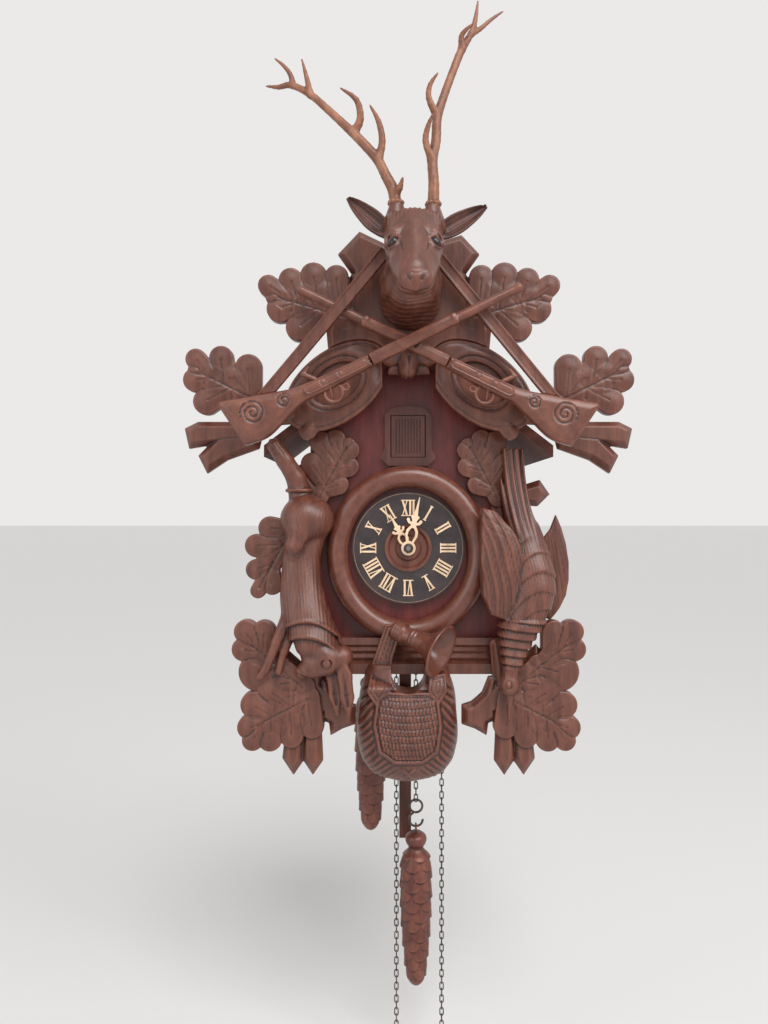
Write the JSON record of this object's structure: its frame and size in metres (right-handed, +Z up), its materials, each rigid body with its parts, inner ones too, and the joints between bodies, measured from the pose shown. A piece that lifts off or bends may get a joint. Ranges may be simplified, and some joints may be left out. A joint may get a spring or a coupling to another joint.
{
  "type": "cuckoo clock",
  "caption": "Carved wooden wall clock with a stag head, crossed rifles, leaves and hanging game, a dial in a hunting horn, a bird door, chains, cone weights and a pendulum.",
  "frame": {"origin": "centre of the hanging hole, on the plane of the wall", "axes": "+Y into the wall, front of the clock toward -Y, +Z up, +X to the viewer's right"},
  "size_m": [0.396, 0.2443, 0.9247],
  "materials": {
    "case_wood": "stained satin",
    "panel_wood": "stained satin, redder",
    "carved_wood": "stained and waxed",
    "antler_wood": "lighter stain with pale tips",
    "dial_black": "dark satin",
    "bone_white": "satin",
    "brass": "aged",
    "steel": "bright",
    "chain_metal": "blackened",
    "cone_iron": "brown painted",
    "stick_wood": "stained",
    "bellows_paper": "folded paper",
    "bird_paint": "painted"
  },
  "bodies": {
    "case": {"back_board": "case_wood", "side_boards": "case_wood", "roof_boards": "case_wood", "floor_board": "case_wood", "whistle_pipes": "case_wood", "front_board": "panel_wood", "hanger_plate": "steel", "gong_coil": "steel", "floor_moulding": "carved_wood", "door_frame": "carved_wood", "horn_ring": "carved_wood", "horn_bell": "carved_wood", "game_bag": "carved_wood", "skirt_left": "carved_wood", "skirt_right": "carved_wood", "side_leaf_left": "carved_wood", "side_leaf_right": "carved_wood", "eave_leaf_left": "carved_wood", "eave_leaf_right": "carved_wood", "gable_scrolls": "carved_wood", "crown_board": "carved_wood", "rifle_stocks": "carved_wood", "rifle_barrels": "carved_wood", "rifle_locks": "carved_wood", "rifle_slings": "carved_wood", "stag_head": "carved_wood", "stag_ears": "carved_wood", "hare": "carved_wood", "game_bird": "carved_wood", "dial_boss": "carved_wood", "antler_left": "antler_wood", "antler_right": "antler_wood", "dial_disc": "dial_black", "dial_numerals": "bone_white", "movement_frame": "brass", "bellows_fold_left": "bellows_paper", "bellows_fold_right": "bellows_paper"},
    "minute": {"minute_hand": "bone_white", "hand_nut": "brass", "centre_arbor": "steel"},
    "hour": {"hour_hand": "bone_white", "hour_wheel": "brass"},
    "motion": {"motion_wheel": "brass"},
    "escape": {"escape_wheel": "brass"},
    "pendulum": {"pendulum_stick": "stick_wood", "pendulum_bob": "carved_wood"},
    "anchor_body": {"anchor": "steel"},
    "going_load": {"going_weight_chain": "chain_metal", "going_weight": "cone_iron"},
    "going_free": {"going_free_chain": "chain_metal"},
    "going_wheel": {"going_chain_wheel": "brass"},
    "strike_load": {"strike_weight_chain": "chain_metal", "strike_weight": "cone_iron"},
    "strike_free": {"strike_free_chain": "chain_metal"},
    "strike_wheel": {"strike_chain_wheel": "brass"},
    "door": {"cuckoo_door": "carved_wood"},
    "bird": {"cuckoo_bird": "bird_paint"},
    "lid_left": {"bellows_lid_left": "case_wood"},
    "lid_right": {"bellows_lid_right": "case_wood"},
    "hammer": {"gong_hammer": "steel"}
  },
  "joints": [
    {"name": "minute_hand_turn", "type": "hinge", "parent": "case", "child": "minute", "pos_m": [0, -0.1, -0.13], "axis": [0, 1, 0], "continuous": true},
    {"name": "hour_hand_turn", "type": "hinge", "parent": "case", "child": "hour", "pos_m": [0, -0.1, -0.13], "axis": [0, 1, 0], "continuous": true},
    {"name": "motion_wheel_turn", "type": "hinge", "parent": "case", "child": "motion", "pos_m": [0.016, -0.1, -0.13], "axis": [0, 1, 0], "continuous": true},
    {"name": "escape_wheel_turn", "type": "hinge", "parent": "case", "child": "escape", "pos_m": [0, -0.065, -0.113], "axis": [0, 1, 0], "continuous": true},
    {"name": "pendulum_swing", "type": "hinge", "parent": "case", "child": "pendulum", "pos_m": [0, -0.025, -0.089], "axis": [0, 1, 0], "range_deg": [-5, 5]},
    {"name": "anchor_rock", "type": "hinge", "parent": "case", "child": "anchor_body", "pos_m": [0, -0.065, -0.096], "axis": [0, 1, 0], "range_deg": [-5.9, 5.9]},
    {"name": "going_weight_drop", "type": "slide", "parent": "case", "child": "going_load", "axis": [0, 0, -1], "range_m": [-0.045, 0.045]},
    {"name": "going_free_run", "type": "slide", "parent": "case", "child": "going_free", "axis": [0, 0, 1], "range_m": [-0.045, 0.045]},
    {"name": "going_wheel_turn", "type": "hinge", "parent": "case", "child": "going_wheel", "pos_m": [0.022, -0.062, -0.185], "axis": [0, 1, 0], "range_deg": [-207, 207]},
    {"name": "strike_weight_drop", "type": "slide", "parent": "case", "child": "strike_load", "axis": [0, 0, -1], "range_m": [0, 0.045]},
    {"name": "strike_free_run", "type": "slide", "parent": "case", "child": "strike_free", "axis": [0, 0, 1], "range_m": [0, 0.045]},
    {"name": "strike_wheel_turn", "type": "hinge", "parent": "case", "child": "strike_wheel", "pos_m": [-0.022, -0.062, -0.185], "axis": [0, 1, 0], "range_deg": [-207, 207]},
    {"name": "door_open", "type": "hinge", "parent": "case", "child": "door", "pos_m": [-0.0138, -0.1208, -0.03], "axis": [0, 0, -1], "range_deg": [0, 100]},
    {"name": "bird_out", "type": "hinge", "parent": "case", "child": "bird", "pos_m": [0, -0.082, -0.076], "axis": [1, 0, 0], "range_deg": [0, 25]},
    {"name": "bellows_left_lift", "type": "hinge", "parent": "case", "child": "lid_left", "pos_m": [-0.069, -0.06, -0.084], "axis": [-1, 0, 0], "range_deg": [0, 12], "deforming": ["bellows_fold_left"]},
    {"name": "bellows_right_lift", "type": "hinge", "parent": "case", "child": "lid_right", "pos_m": [0.069, -0.06, -0.084], "axis": [-1, 0, 0], "range_deg": [0, 12], "deforming": ["bellows_fold_right"]},
    {"name": "hammer_lift", "type": "hinge", "parent": "case", "child": "hammer", "pos_m": [0.034, -0.013, -0.12], "axis": [0, 1, 0], "range_deg": [0, 6]}
  ],
  "couplings": [
    {"joint": "hour_hand_turn", "follows": "minute_hand_turn", "ratio": 0.083333},
    {"joint": "motion_wheel_turn", "follows": "minute_hand_turn", "ratio": -0.33333},
    {"joint": "anchor_rock", "follows": "pendulum_swing", "ratio": 1.1522},
    {"joint": "going_free_run", "follows": "going_weight_drop", "ratio": 1},
    {"joint": "going_wheel_turn", "follows": "going_weight_drop", "rad_per_m": -80},
    {"joint": "strike_free_run", "follows": "strike_weight_drop", "ratio": 1},
    {"joint": "strike_wheel_turn", "follows": "strike_weight_drop", "rad_per_m": -80},
    {"joint": "door_open", "follows": "bird_out", "ratio": 4}
  ]
}
